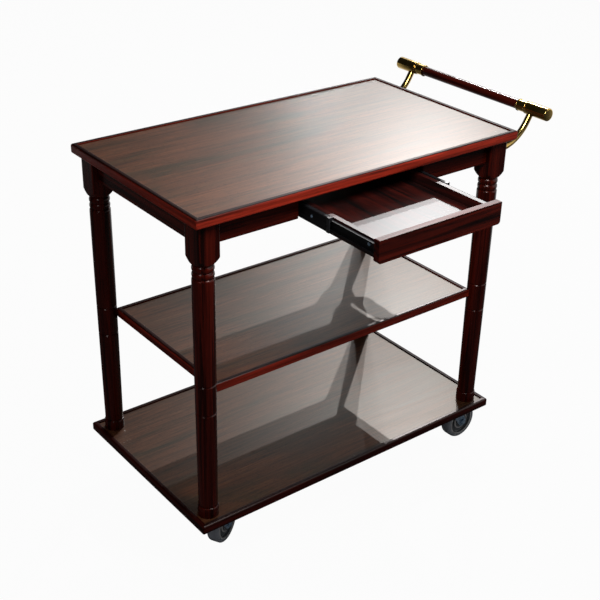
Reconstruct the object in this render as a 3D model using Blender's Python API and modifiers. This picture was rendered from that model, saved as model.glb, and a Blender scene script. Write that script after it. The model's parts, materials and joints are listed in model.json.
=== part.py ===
"""Wooden serving cart with turned legs, an open drawer, a brass-ended push bar and swivel casters.

Metres, +Z up. The cart's length runs along X with the push bar at +X, and the drawer opens
towards -Y. Every piece is placed from the middle of the cart's plan, at floor level. One parent
empty then moves the whole to its reference point, the bottom centre of its bounding box.
"""

import math

import bmesh
import bpy
from mathutils import Matrix

# Gap between pieces that touch or run in each other
FIT = 0.0003

# Boards: the top, the middle shelf and the bottom shelf
CART_LENGTH = 0.800
CART_WIDTH = 0.457
TOP_HEIGHT = 0.7865
MID_SHELF_HEIGHT = 0.415
MID_SHELF_BITE = 0.0012
BOARD_THICKNESS = 0.017
LIP_RISE = 0.003
EDGE_WIDTH = 0.0105
EDGE_TOP_RADIUS = 0.0045
EDGE_FOOT_RADIUS = 0.0045
EDGE_LIP_RADIUS = 0.0012
CORNER_RADIUS = 0.004

# Legs
LEG_INSET_LENGTH = 0.037
LEG_INSET_WIDTH = 0.0381
LEG_BLOCK_WIDTH = 0.0465
LEG_BLOCK_HEIGHT = 0.0675
LEG_ARRIS_RADIUS = 0.003
POMMEL_HEIGHT = 0.019
POMMEL_CURVE = 1.4
BEAD_HEIGHT = 0.0131
BEAD_RADIUS = 0.0214
BEAD_COUNT = 2
NECK_RADIUS = 0.0188
COLUMN_TOP_RADIUS = 0.0217
COLUMN_FOOT_RADIUS = 0.0196
COLUMN_ROUND = 0.0045
SCRIBE_ABOVE_SHELF = 0.013
SCRIBE_BELOW_SHELF = 0.0317
SCRIBE_WIDTH = 0.004
SCRIBE_DEPTH = 0.0016
FOOT_RADIUS = 0.0213
FOOT_HEIGHT = 0.0235
FOOT_ROUND = 0.003
FOOT_GROOVE_RADIUS = 0.0182

# Aprons and drawer bearers
APRON_HEIGHT = 0.048
APRON_THICKNESS = 0.018
APRON_SETBACK = 0.012
BOARD_BEVEL = 0.0015
BEARER_THICKNESS = 0.012
BEARER_HEIGHT = 0.0525

# Drawer
DRAWER_OUT = 0.2205
DRAWER_OPENING_MARGIN = 0.0037
DRAWER_FRONT_HEIGHT = 0.0455
DRAWER_FRONT_THICKNESS = 0.014
DRAWER_FRONT_DROP = 0.011
DRAWER_FRONT_CORNER = 0.006
DRAWER_FRONT_SIDE_GAP = 0.0055
DRAWER_BOX_WIDTH = 0.280
DRAWER_BACK_GAP = 0.021
DRAWER_SIDE_THICKNESS = 0.010
DRAWER_SIDE_HEIGHT = 0.0355
DRAWER_SIDE_DROP = 0.020
DRAWER_BOTTOM_THICKNESS = 0.004
DRAWER_BOTTOM_RISE = 0.0115
DRAWER_GROOVE_DEPTH = 0.005

# Telescopic slides, three channel members on each side of the drawer
SLIDE_THICKNESS = 0.0127
SLIDE_DROP = 0.034
SLIDE_SETBACK = 0.002
SLIDE_WEB = 0.0012
SLIDE_ROUND = 0.002
SLIDE_FOLLOW = 0.44
CABINET_MEMBER_HEIGHT = 0.035
CABINET_MEMBER_DEPTH = 0.0095
MIDDLE_MEMBER_HEIGHT = 0.0298
MIDDLE_MEMBER_DEPTH = 0.0079
MIDDLE_MEMBER_START = 0.0026
DRAWER_MEMBER_HEIGHT = 0.0206
DRAWER_MEMBER_DEPTH = 0.0072
DRAWER_MEMBER_FLANGE = 0.0018

# Push bar
HANDLE_OVERHANG = 0.0465
HANDLE_REACH = 0.0977
HANDLE_RISE = 0.071
POST_DROP = 0.032
POST_RADIUS = 0.0072
POST_RUN = 0.003
POST_INSET = 0.0034
POST_ANGLE = math.radians(60)
GRIP_RADIUS = 0.0105
SLEEVE_LENGTH = 0.085
SLEEVE_BARREL_LENGTH = 0.058
SLEEVE_BARREL_RADIUS = 0.0140
SLEEVE_COLLAR_RADIUS = 0.0120
SLEEVE_GROOVE_WIDTH = 0.0012
SLEEVE_BEAD_WIDTH = 0.0032
SLEEVE_RING_WIDTH = 0.0024
SLEEVE_CAP_THICKNESS = 0.003
SLEEVE_ROUND = 0.0025

# Casters
CASTER_HEIGHT = 0.1015
CASTER_INSET_LENGTH = 0.064
CASTER_INSET_WIDTH = 0.0605
CASTER_TRAIL = 0.034
PLATE_WIDTH = 0.058
PLATE_THICKNESS = 0.0025
PLATE_CORNER = 0.007
KING_PIN_RADIUS = 0.005
KING_PIN_HEAD_RADIUS = 0.0085
KING_PIN_HEAD_HEIGHT = 0.0025
CROWN_RADIUS = 0.0215
CROWN_THICKNESS = 0.003
RACE_RADIUS = 0.0165
RACE_WIDTH = 0.005
RACE_RISE = 0.003
ARM_THICKNESS = 0.0025
ARM_WIDTH = 0.030
ARM_END_RADIUS = 0.0115
AXLE_RADIUS = 0.004
AXLE_HEAD_RADIUS = 0.0072
AXLE_HEAD_HEIGHT = 0.004
WHEEL_RADIUS = 0.0435
TYRE_WIDTH = 0.028
TYRE_ROUND = 0.006
TYRE_INNER_RADIUS = 0.0335
HUB_RADIUS = 0.0165
HUB_WIDTH = 0.029
WHEEL_WEB = 0.014
SWIVEL_ANGLES = {
    "front_left": math.radians(28),
    "front_right": math.radians(2),
    "back_left": math.radians(24),
    "back_right": math.radians(-17),
}

# How finely round shapes are faceted, and how near points are welded
LEG_SIDES = 20
HANDLE_SIDES = 24
WHEEL_SIDES = 24
CROWN_SIDES = 16
PIN_SIDES = 12
SCOOP_SIDES = 32
HEXAGON_SIDES = 6
FINE_STEPS = 4
ROUND_STEPS = 3
COARSE_STEPS = 2
POST_STEPS = 8
ARM_STEPS = 7
POST_RESOLUTION = 3
SMOOTH_ANGLE = math.radians(35)
WELD = 1e-6
TURN_WELD = 1e-5

# Places that follow from the sizes above
EDGE_HEIGHT = BOARD_THICKNESS + LIP_RISE
TOP_UNDERSIDE = TOP_HEIGHT - EDGE_HEIGHT
BOTTOM_UNDERSIDE = CASTER_HEIGHT + FIT
LEG_FOOT = BOTTOM_UNDERSIDE + BOARD_THICKNESS + FIT
LEG_TOP = TOP_UNDERSIDE - FIT
LEG_LENGTH = LEG_TOP - LEG_FOOT
LEG_X = CART_LENGTH / 2 - LEG_INSET_LENGTH
LEG_Y = CART_WIDTH / 2 - LEG_INSET_WIDTH
LEG_HALF = LEG_BLOCK_WIDTH / 2
APRON_FACE_X = LEG_X + LEG_HALF - APRON_SETBACK
APRON_FACE_Y = LEG_Y + LEG_HALF - APRON_SETBACK
DRAWER_CLOSED_FACE = -APRON_FACE_Y
DRAWER_FACE = DRAWER_CLOSED_FACE - DRAWER_OUT
DRAWER_BOX_START = DRAWER_FRONT_THICKNESS + FIT
DRAWER_BOX_END = APRON_FACE_Y - APRON_THICKNESS - DRAWER_BACK_GAP
DRAWER_BOX_DEPTH = DRAWER_BOX_END - DRAWER_CLOSED_FACE - DRAWER_BOX_START
SLIDE_LENGTH = DRAWER_BOX_DEPTH
BEARER_FACE = DRAWER_BOX_WIDTH / 2 + SLIDE_THICKNESS + 2 * FIT
DRAWER_OPENING = BEARER_FACE + DRAWER_OPENING_MARGIN
DRAWER_FRONT_WIDTH = 2 * (DRAWER_OPENING - DRAWER_FRONT_SIDE_GAP)
POST_Y = LEG_Y - POST_INSET
HANDLE_LENGTH = 2 * (POST_Y + HANDLE_OVERHANG)
HANDLE_X = LEG_X + LEG_HALF + HANDLE_REACH
POST_HEIGHT = TOP_UNDERSIDE - POST_DROP
HANDLE_HEIGHT = POST_HEIGHT + HANDLE_RISE
CASTER_X = CART_LENGTH / 2 - CASTER_INSET_LENGTH
CASTER_Y = CART_WIDTH / 2 - CASTER_INSET_WIDTH
AXLE_DROP = CASTER_HEIGHT - WHEEL_RADIUS
LEG_SIGNS = {
    "front_left": (-1, -1),
    "front_right": (1, -1),
    "back_left": (-1, 1),
    "back_right": (1, 1),
}
SIDES = {"left": -1, "right": 1}
EDGE_TURNS = {
    "right": 0.0,
    "back": math.pi / 2,
    "left": math.pi,
    "front": -math.pi / 2,
}


def clear_scene():
    for old in list(bpy.data.objects):
        bpy.data.objects.remove(old)


def new_collection(name, hidden=False):
    collection = bpy.data.collections.new(name)
    collection.hide_render = hidden
    bpy.context.scene.collection.children.link(collection)
    return collection


def new_material(name, colour, roughness, metallic=0.0):
    material = bpy.data.materials.new(name)
    material.use_nodes = True
    shader = material.node_tree.nodes["Principled BSDF"]
    shader.inputs["Base Color"].default_value = (*colour, 1.0)
    shader.inputs["Roughness"].default_value = roughness
    shader.inputs["Metallic"].default_value = metallic
    return material


clear_scene()
PARTS = new_collection("serving_cart")
CUTTERS = new_collection("serving_cart_cutters", hidden=True)
MAHOGANY = new_material("mahogany", (0.110, 0.016, 0.010), 0.28)
LAMINATE = new_material("wood_laminate", (0.105, 0.055, 0.042), 0.22)
BRASS = new_material("polished_brass", (0.62, 0.42, 0.13), 0.18, 1.0)
BLACK_STEEL = new_material("black_steel", (0.012, 0.012, 0.013), 0.40, 0.6)
ZINC_STEEL = new_material("zinc_steel", (0.45, 0.48, 0.52), 0.30, 1.0)
RUBBER = new_material("grey_rubber", (0.045, 0.048, 0.055), 0.55)


# Shape helpers


def new_empty(name, location=(0, 0, 0), turn=0.0, parent=None):
    empty = bpy.data.objects.new(name, None)
    empty.location = location
    empty.rotation_euler = (0, 0, turn)
    empty.parent = parent
    PARTS.objects.link(empty)
    return empty


def new_part(name, mesh, material, parent, location=(0, 0, 0), rotation=(0, 0, 0)):
    part = bpy.data.objects.new(name, mesh)
    part.location = location
    part.rotation_euler = rotation
    part.parent = parent
    if not mesh.materials:
        mesh.materials.append(material)
    PARTS.objects.link(part)
    return part


def new_cutter(name, mesh, location=(0, 0, 0), parent=None):
    cutter = bpy.data.objects.new(name, mesh)
    cutter.location = location
    cutter.parent = parent
    cutter.hide_render = True
    cutter.display_type = "WIRE"
    CUTTERS.objects.link(cutter)
    return cutter


def add_boolean(part, cutter, operation):
    modifier = part.modifiers.new(f"{operation.lower()}_{cutter.name}", "BOOLEAN")
    modifier.operation = operation
    modifier.object = cutter


def add_bevel(part, width, segments=COARSE_STEPS):
    modifier = part.modifiers.new("rounded_edges", "BEVEL")
    modifier.width = width
    modifier.segments = segments
    modifier.limit_method = "ANGLE"


def shade_round(mesh):
    mesh.shade_smooth()
    mesh.set_sharp_from_angle(angle=SMOOTH_ANGLE)


def mesh_from(source, name):
    """The shape of an object with its modifiers, as a welded mesh; the object is removed."""
    graph = bpy.context.evaluated_depsgraph_get()
    mesh = bpy.data.meshes.new_from_object(source.evaluated_get(graph))
    mesh.name = name
    bpy.data.objects.remove(source)
    shape = bmesh.new()
    shape.from_mesh(mesh)
    bmesh.ops.remove_doubles(shape, verts=shape.verts, dist=WELD)
    bmesh.ops.recalc_face_normals(shape, faces=shape.faces)
    shape.to_mesh(mesh)
    shape.free()
    return mesh


def box_mesh(name, size):
    mesh = bpy.data.meshes.new(name)
    shape = bmesh.new()
    bmesh.ops.create_cube(shape, size=1.0)
    bmesh.ops.scale(shape, vec=size, verts=shape.verts)
    shape.to_mesh(mesh)
    shape.free()
    return mesh


def cylinder_mesh(name, radius, length, sides):
    mesh = bpy.data.meshes.new(name)
    shape = bmesh.new()
    bmesh.ops.create_cone(
        shape, cap_ends=True, segments=sides, radius1=radius, radius2=radius, depth=length
    )
    shape.to_mesh(mesh)
    shape.free()
    return mesh


def arc(centre, radius, start, end, steps):
    """Points on a circle's arc, both ends included; angles in degrees."""
    points = []
    for step in range(steps + 1):
        angle = math.radians(start + (end - start) * step / steps)
        points.append((centre[0] + radius * math.cos(angle), centre[1] + radius * math.sin(angle)))
    return points


def rounded_rectangle(length, width, radius, steps=ROUND_STEPS):
    """Outline of a rectangle about the origin, with rounded corners."""
    across = length / 2 - radius
    up = width / 2 - radius
    points = arc((across, up), radius, 0, 90, steps)
    points += arc((-across, up), radius, 90, 180, steps)
    points += arc((-across, -up), radius, 180, 270, steps)
    points += arc((across, -up), radius, 270, 360, steps)
    return points


def extruded_mesh(name, outline, depth):
    """A flat outline in XY, made as thick as depth along Z, about the origin."""
    curve = bpy.data.curves.new(name, "CURVE")
    curve.dimensions = "2D"
    curve.fill_mode = "BOTH"
    curve.extrude = depth / 2
    spline = curve.splines.new("POLY")
    spline.points.add(len(outline) - 1)
    for point, (x, y) in zip(spline.points, outline):
        point.co = (x, y, 0, 1)
    spline.use_cyclic_u = True
    source = bpy.data.objects.new(name, curve)
    CUTTERS.objects.link(source)
    return mesh_from(source, name)


def turned_mesh(name, profile, sides, closed=False):
    """A profile of (radius, height) points, top to bottom, turned about Z."""
    outline = bpy.data.meshes.new(name)
    edges = [(i, i + 1) for i in range(len(profile) - 1)]
    if closed:
        edges.append((len(profile) - 1, 0))
    outline.from_pydata([(radius, 0, height) for radius, height in profile], edges, [])
    source = bpy.data.objects.new(name, outline)
    CUTTERS.objects.link(source)
    screw = source.modifiers.new("turn", "SCREW")
    screw.steps = sides
    screw.render_steps = sides
    screw.use_merge_vertices = True
    screw.merge_threshold = TURN_WELD
    return mesh_from(source, name)


# Boards with mitred edge mouldings


def edge_outline():
    """Section of the edge moulding: outwards from the panel along X, upwards along Y."""
    foot = EDGE_FOOT_RADIUS
    crest = EDGE_TOP_RADIUS
    lip = EDGE_LIP_RADIUS
    points = [(0, 0)]
    points += arc((EDGE_WIDTH - foot, foot), foot, -90, 0, ROUND_STEPS)
    points += arc((EDGE_WIDTH - crest, EDGE_HEIGHT - crest), crest, 0, 90, FINE_STEPS)
    points += arc((lip, EDGE_HEIGHT - lip), lip, 90, 180, COARSE_STEPS)
    return points


def mitred_edge_mesh(name, length):
    """A moulding as long as its outer face, with both ends mitred."""
    mesh = extruded_mesh(name, edge_outline(), length)
    mitre_ease = FIT / math.sqrt(2)
    for vertex in mesh.vertices:
        inset = EDGE_WIDTH - vertex.co.x + mitre_ease
        vertex.co.z -= math.copysign(inset, vertex.co.z)
    shade_round(mesh)
    return mesh


def make_board(name, length, width, underside, parent):
    """A laminate panel inside four mitred mouldings that stand proud of it as a lip."""
    inset = 2 * (EDGE_WIDTH + FIT)
    panel_size = (length - inset, width - inset, BOARD_THICKNESS)
    panel = new_part(
        f"{name}_panel",
        box_mesh(f"{name}_panel", panel_size),
        LAMINATE,
        parent,
        (0, 0, underside + BOARD_THICKNESS / 2),
    )
    past = 2 * FIT
    rounding = rounded_rectangle(length + past, width + past, CORNER_RADIUS)
    outline = new_cutter(
        f"{name}_outline",
        extruded_mesh(f"{name}_outline", rounding, 3 * EDGE_HEIGHT),
        (0, 0, underside + EDGE_HEIGHT / 2),
        parent,
    )
    pieces = [panel]
    for side, turn in EDGE_TURNS.items():
        along, across = (width, length) if side in SIDES else (length, width)
        reach = across / 2 - EDGE_WIDTH
        edge = new_part(
            f"{name}_edge_{side}",
            mitred_edge_mesh(f"{name}_edge_{side}", along),
            MAHOGANY,
            parent,
            (reach * math.cos(turn), reach * math.sin(turn), underside),
            (math.pi / 2, 0, turn),
        )
        add_boolean(edge, outline, "INTERSECT")
        pieces.append(edge)
    return pieces


def make_boards(cart):
    make_board("top", CART_LENGTH, CART_WIDTH, TOP_UNDERSIDE, cart)
    make_board("bottom_shelf", CART_LENGTH, CART_WIDTH, BOTTOM_UNDERSIDE, cart)
    underside = MID_SHELF_HEIGHT - EDGE_HEIGHT
    leg_radius = column_radius(MID_SHELF_HEIGHT)
    length = 2 * (LEG_X - leg_radius + MID_SHELF_BITE)
    pieces = make_board("mid_shelf", length, 2 * LEG_Y, underside, cart)
    # Each corner of the middle shelf is scooped to seat against a leg
    scoop_radius = (leg_radius + FIT) / math.cos(math.pi / SCOOP_SIDES)
    for corner, (x_sign, y_sign) in LEG_SIGNS.items():
        scoop = new_cutter(
            f"mid_shelf_scoop_{corner}",
            cylinder_mesh(f"mid_shelf_scoop_{corner}", scoop_radius, 3 * EDGE_HEIGHT, SCOOP_SIDES),
            (x_sign * LEG_X, y_sign * LEG_Y, underside + EDGE_HEIGHT / 2),
            cart,
        )
        x_side = "left" if x_sign < 0 else "right"
        y_side = "front" if y_sign < 0 else "back"
        for piece in pieces:
            if piece.name.endswith((x_side, y_side)):
                add_boolean(piece, scoop, "DIFFERENCE")


# Turned legs


def column_span():
    """Lowest and highest point of the leg's plain column, above the floor."""
    neck = POMMEL_HEIGHT + BEAD_COUNT * BEAD_HEIGHT
    return LEG_FOOT + FOOT_HEIGHT + FOOT_ROUND, LEG_TOP - LEG_BLOCK_HEIGHT - neck


def column_radius(height):
    """The column swells from foot to top, fastest near the foot."""
    low, high = column_span()
    share = min(max((height - low) / (high - low), 0), 1)
    swell = COLUMN_TOP_RADIUS - COLUMN_FOOT_RADIUS
    return COLUMN_FOOT_RADIUS + swell * math.sin(share * math.pi / 2)


def pommel_profile():
    """The shoulder that turns the square block down to the round neck, top to bottom."""
    corner = LEG_BLOCK_WIDTH / math.sqrt(2)
    clear_of_block = corner / math.cos(math.pi / LEG_SIDES)
    top = LEG_TOP - LEG_BLOCK_HEIGHT
    points = [(0, LEG_TOP), (clear_of_block, LEG_TOP)]
    for step in range(FINE_STEPS + 1):
        share = step / FINE_STEPS
        radius = clear_of_block - (clear_of_block - NECK_RADIUS) * share**POMMEL_CURVE
        points.append((radius, top - POMMEL_HEIGHT * share))
    return points


def bead_profile(top):
    """One half-round bead, from its crest side down to the groove below it."""
    points = []
    for step in range(1, FINE_STEPS + 1):
        swell = math.sin(math.pi * step / FINE_STEPS)
        radius = NECK_RADIUS + (BEAD_RADIUS - NECK_RADIUS) * swell
        points.append((radius, top - BEAD_HEIGHT * step / FINE_STEPS))
    return points


def scribe_profile(height):
    """A V groove cut round the column."""
    radius = column_radius(height)
    half = SCRIBE_WIDTH / 2
    return [(radius, height + half), (radius - SCRIBE_DEPTH, height), (radius, height - half)]


def column_profile():
    low, high = column_span()
    low_scribe = MID_SHELF_HEIGHT - EDGE_HEIGHT - SCRIBE_BELOW_SHELF
    high_scribe = MID_SHELF_HEIGHT + SCRIBE_ABOVE_SHELF
    shoulder = COLUMN_TOP_RADIUS - NECK_RADIUS
    points = []
    for step in range(1, COARSE_STEPS + 1):
        angle = math.pi / 2 * step / COARSE_STEPS
        points.append(
            (NECK_RADIUS + shoulder * math.sin(angle), high - COLUMN_ROUND * (1 - math.cos(angle)))
        )
    points += scribe_profile(high_scribe)
    points += scribe_profile(low_scribe)
    for step in range(1, ROUND_STEPS):
        height = low_scribe + (low - low_scribe) * step / ROUND_STEPS
        points.append((column_radius(height), height))
    points.append((COLUMN_FOOT_RADIUS, low))
    return points


def foot_profile():
    top = LEG_FOOT + FOOT_HEIGHT
    points = [(FOOT_GROOVE_RADIUS, top + FOOT_ROUND / 2), (FOOT_GROOVE_RADIUS, top)]
    points += arc((FOOT_RADIUS - FOOT_ROUND, top - FOOT_ROUND), FOOT_ROUND, 90, 0, ROUND_STEPS)
    points += [(FOOT_RADIUS, LEG_FOOT), (0, LEG_FOOT)]
    return points


def leg_mesh():
    """A square blank whose lower part is turned round, as on a lathe."""
    profile = pommel_profile()
    neck_top = LEG_TOP - LEG_BLOCK_HEIGHT - POMMEL_HEIGHT
    for bead in range(BEAD_COUNT):
        profile += bead_profile(neck_top - bead * BEAD_HEIGHT)
    profile += column_profile()
    profile += foot_profile()
    turned = bpy.data.objects.new("leg_turning", turned_mesh("leg_turning", profile, LEG_SIDES))
    CUTTERS.objects.link(turned)
    blank_outline = rounded_rectangle(LEG_BLOCK_WIDTH, LEG_BLOCK_WIDTH, LEG_ARRIS_RADIUS)
    blank = new_cutter(
        "leg_blank",
        extruded_mesh("leg_blank", blank_outline, 2 * LEG_LENGTH),
        (0, 0, LEG_TOP),
    )
    add_boolean(turned, blank, "INTERSECT")
    mesh = mesh_from(turned, "turned_leg")
    shade_round(mesh)
    return mesh


def make_legs(cart):
    mesh = leg_mesh()
    for corner, (x_sign, y_sign) in LEG_SIGNS.items():
        new_part(f"leg_{corner}", mesh, MAHOGANY, cart, (x_sign * LEG_X, y_sign * LEG_Y, 0))


# Aprons and drawer bearers


def make_apron(name, size, centre, cart):
    apron = new_part(name, box_mesh(name, size), MAHOGANY, cart, centre)
    add_bevel(apron, BOARD_BEVEL)


def make_aprons(cart):
    middle = LEG_TOP - APRON_HEIGHT / 2
    end_x = LEG_X - LEG_HALF - FIT
    end_y = LEG_Y - LEG_HALF - FIT
    face_x = APRON_FACE_X - APRON_THICKNESS / 2
    face_y = APRON_FACE_Y - APRON_THICKNESS / 2
    long_size = (2 * end_x, APRON_THICKNESS, APRON_HEIGHT)
    end_size = (APRON_THICKNESS, 2 * end_y, APRON_HEIGHT)
    short_size = (end_x - DRAWER_OPENING, APRON_THICKNESS, APRON_HEIGHT)
    make_apron("apron_back", long_size, (0, face_y, middle), cart)
    for side, sign in SIDES.items():
        make_apron(f"apron_{side}", end_size, (sign * face_x, 0, middle), cart)
        centre_x = sign * (end_x + DRAWER_OPENING) / 2
        make_apron(f"apron_front_{side}", short_size, (centre_x, -face_y, middle), cart)


def make_bearers(cart):
    """Boards across the cart, behind the front apron, that carry the slides."""
    length = 2 * (APRON_FACE_Y - APRON_THICKNESS - FIT)
    size = (BEARER_THICKNESS, length, BEARER_HEIGHT)
    for side, sign in SIDES.items():
        centre = (sign * (BEARER_FACE + BEARER_THICKNESS / 2), 0, LEG_TOP - BEARER_HEIGHT / 2)
        new_part(
            f"drawer_bearer_{side}", box_mesh(f"drawer_bearer_{side}", size), MAHOGANY, cart, centre
        )


# Drawer, drawn out as far as in the photograph


def drawer_front_mesh():
    """A face board whose lower corners are rounded more than its upper ones."""
    half = DRAWER_FRONT_WIDTH / 2
    foot = DRAWER_FRONT_CORNER
    head = BOARD_BEVEL
    points = arc((half - head, -head), head, 0, 90, COARSE_STEPS)
    points += arc((head - half, -head), head, 90, 180, COARSE_STEPS)
    points += arc((foot - half, foot - DRAWER_FRONT_HEIGHT), foot, 180, 270, FINE_STEPS)
    points += arc((half - foot, foot - DRAWER_FRONT_HEIGHT), foot, 270, 360, FINE_STEPS)
    return extruded_mesh("drawer_front", points, DRAWER_FRONT_THICKNESS)


def make_drawer_front(drawer):
    top = TOP_UNDERSIDE - DRAWER_FRONT_DROP
    front = new_part(
        "drawer_front",
        drawer_front_mesh(),
        MAHOGANY,
        drawer,
        (0, DRAWER_FRONT_THICKNESS / 2, top),
        (math.pi / 2, 0, 0),
    )
    add_bevel(front, BOARD_BEVEL / 2)


def make_drawer_box(drawer):
    """Two grooved sides, a back between them and a thin bottom that slides into the grooves."""
    centre_y = DRAWER_BOX_START + DRAWER_BOX_DEPTH / 2
    side_top = TOP_UNDERSIDE - DRAWER_SIDE_DROP
    centre_z = side_top - DRAWER_SIDE_HEIGHT / 2
    floor_z = side_top - DRAWER_SIDE_HEIGHT + DRAWER_BOTTOM_RISE + DRAWER_BOTTOM_THICKNESS / 2
    inner_half = DRAWER_BOX_WIDTH / 2 - DRAWER_SIDE_THICKNESS
    groove_width = 2 * (inner_half + DRAWER_GROOVE_DEPTH)
    groove_size = (groove_width, 2 * DRAWER_BOX_DEPTH, DRAWER_BOTTOM_THICKNESS + 2 * FIT)
    groove = new_cutter(
        "drawer_groove", box_mesh("drawer_groove", groove_size), (0, centre_y, floor_z), drawer
    )
    side_size = (DRAWER_SIDE_THICKNESS, DRAWER_BOX_DEPTH, DRAWER_SIDE_HEIGHT)
    for side, sign in SIDES.items():
        name = f"drawer_side_{side}"
        centre = (sign * (DRAWER_BOX_WIDTH - DRAWER_SIDE_THICKNESS) / 2, centre_y, centre_z)
        board = new_part(name, box_mesh(name, side_size), MAHOGANY, drawer, centre)
        add_boolean(board, groove, "DIFFERENCE")
    # The back stands on the bottom, which slides in under it
    back_foot = floor_z + DRAWER_BOTTOM_THICKNESS / 2 + FIT
    back_size = (2 * (inner_half - FIT), DRAWER_SIDE_THICKNESS, side_top - back_foot)
    back_centre = (
        0,
        DRAWER_BOX_START + DRAWER_BOX_DEPTH - DRAWER_SIDE_THICKNESS / 2,
        (side_top + back_foot) / 2,
    )
    new_part("drawer_back", box_mesh("drawer_back", back_size), MAHOGANY, drawer, back_centre)
    bottom_size = (groove_width - 2 * FIT, DRAWER_BOX_DEPTH, DRAWER_BOTTOM_THICKNESS)
    bottom = box_mesh("drawer_bottom", bottom_size)
    new_part("drawer_bottom", bottom, MAHOGANY, drawer, (0, centre_y, floor_z))


# Telescopic slides


def channel_outline(height, depth, flange, rounding):
    """A C channel: its web stands at X = 0 and its two flanges reach to X = depth."""
    half = height / 2
    points = [(depth, half)]
    points += arc((rounding, half - rounding), rounding, 90, 180, COARSE_STEPS)
    points += arc((rounding, rounding - half), rounding, 180, 270, COARSE_STEPS)
    points += [(depth, -half), (depth, flange - half), (SLIDE_WEB, flange - half)]
    points += [(SLIDE_WEB, half - flange), (depth, half - flange)]
    return points


def make_slide_member(name, outline, place, parent):
    """A channel along Y whose web starts at place, with its front end at the parent's Y."""
    web_x, front_y, height, sign = place
    outline = [(x * sign, y) for x, y in outline]
    mesh = extruded_mesh(name, outline, SLIDE_LENGTH)
    location = (web_x, front_y + SLIDE_LENGTH / 2, height)
    new_part(name, mesh, BLACK_STEEL, parent, location, (math.pi / 2, 0, 0))


def make_slides(cart, middle, drawer):
    """Cabinet members on the bearers, drawer members on the drawer, middle members between."""
    height = TOP_UNDERSIDE - SLIDE_DROP
    cabinet_flange = (CABINET_MEMBER_HEIGHT - MIDDLE_MEMBER_HEIGHT) / 2 - FIT
    middle_flange = (MIDDLE_MEMBER_HEIGHT - DRAWER_MEMBER_HEIGHT) / 2 - FIT
    cabinet = channel_outline(CABINET_MEMBER_HEIGHT, CABINET_MEMBER_DEPTH, cabinet_flange, SLIDE_ROUND)
    between = channel_outline(MIDDLE_MEMBER_HEIGHT, MIDDLE_MEMBER_DEPTH, middle_flange, SLIDE_ROUND)
    inner = channel_outline(DRAWER_MEMBER_HEIGHT, DRAWER_MEMBER_DEPTH, DRAWER_MEMBER_FLANGE, SLIDE_WEB)
    front = DRAWER_CLOSED_FACE + DRAWER_FRONT_THICKNESS + SLIDE_SETBACK
    in_drawer = DRAWER_FRONT_THICKNESS + SLIDE_SETBACK
    for side, sign in SIDES.items():
        on_bearer = sign * (BEARER_FACE - FIT)
        on_middle = on_bearer - sign * MIDDLE_MEMBER_START
        on_drawer = sign * (DRAWER_BOX_WIDTH / 2 + FIT)
        make_slide_member(f"slide_cabinet_member_{side}", cabinet, (on_bearer, front, height, -sign), cart)
        make_slide_member(f"slide_middle_member_{side}", between, (on_middle, 0, height, -sign), middle)
        make_slide_member(f"slide_drawer_member_{side}", inner, (on_drawer, in_drawer, height, sign), drawer)


def make_drawer(cart):
    drawer = new_empty("drawer_axis", (0, DRAWER_FACE, 0), parent=cart)
    cabinet_front = DRAWER_CLOSED_FACE + DRAWER_FRONT_THICKNESS + SLIDE_SETBACK
    middle_front = cabinet_front - SLIDE_FOLLOW * DRAWER_OUT
    middle = new_empty("slide_middle_axis", (0, middle_front, 0), parent=cart)
    make_drawer_front(drawer)
    make_drawer_box(drawer)
    make_slides(cart, middle, drawer)


# Push bar


def sleeve_profile():
    """A brass sleeve from its closed outer end, at height 0: a barrel, a bead and a ringed collar."""
    barrel, collar = SLEEVE_BARREL_RADIUS, SLEEVE_COLLAR_RADIUS
    bead_half, ring_half = SLEEVE_BEAD_WIDTH / 2, SLEEVE_RING_WIDTH / 2
    bead_height = -SLEEVE_BARREL_LENGTH - SLEEVE_GROOVE_WIDTH - bead_half
    bore = GRIP_RADIUS + FIT
    points = [(0, 0)]
    points += arc((barrel - SLEEVE_ROUND, -SLEEVE_ROUND), SLEEVE_ROUND, 90, 0, ROUND_STEPS)
    points += [(barrel, -SLEEVE_BARREL_LENGTH), (collar, -SLEEVE_BARREL_LENGTH)]
    points += arc((collar, bead_height), bead_half, 90, -90, FINE_STEPS)
    points += arc((collar, ring_half - SLEEVE_LENGTH), ring_half, 90, -90, COARSE_STEPS)
    points += [(bore, -SLEEVE_LENGTH), (bore, -SLEEVE_CAP_THICKNESS), (0, -SLEEVE_CAP_THICKNESS)]
    return points


def make_grip(cart):
    length = HANDLE_LENGTH - 2 * (SLEEVE_CAP_THICKNESS + FIT)
    mesh = cylinder_mesh("handle_grip", GRIP_RADIUS, length, HANDLE_SIDES)
    shade_round(mesh)
    new_part("handle_grip", mesh, MAHOGANY, cart, (HANDLE_X, 0, HANDLE_HEIGHT), (math.pi / 2, 0, 0))


def post_points():
    """The post's route in XZ: a short run out of the leg block, an arc, then straight to the bar."""
    rise_per_reach = math.tan(POST_ANGLE)
    bend = math.sin(POST_ANGLE) * rise_per_reach - 1 + math.cos(POST_ANGLE)
    reach = HANDLE_REACH - FIT - POST_RUN
    radius = (reach * rise_per_reach - HANDLE_RISE) / bend
    start_x = LEG_X + LEG_HALF + FIT
    turn = math.degrees(POST_ANGLE)
    points = [(start_x, POST_HEIGHT)]
    points += arc((start_x + POST_RUN, POST_HEIGHT + radius), radius, -90, turn - 90, POST_STEPS)
    points.append((HANDLE_X, HANDLE_HEIGHT))
    return points


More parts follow.
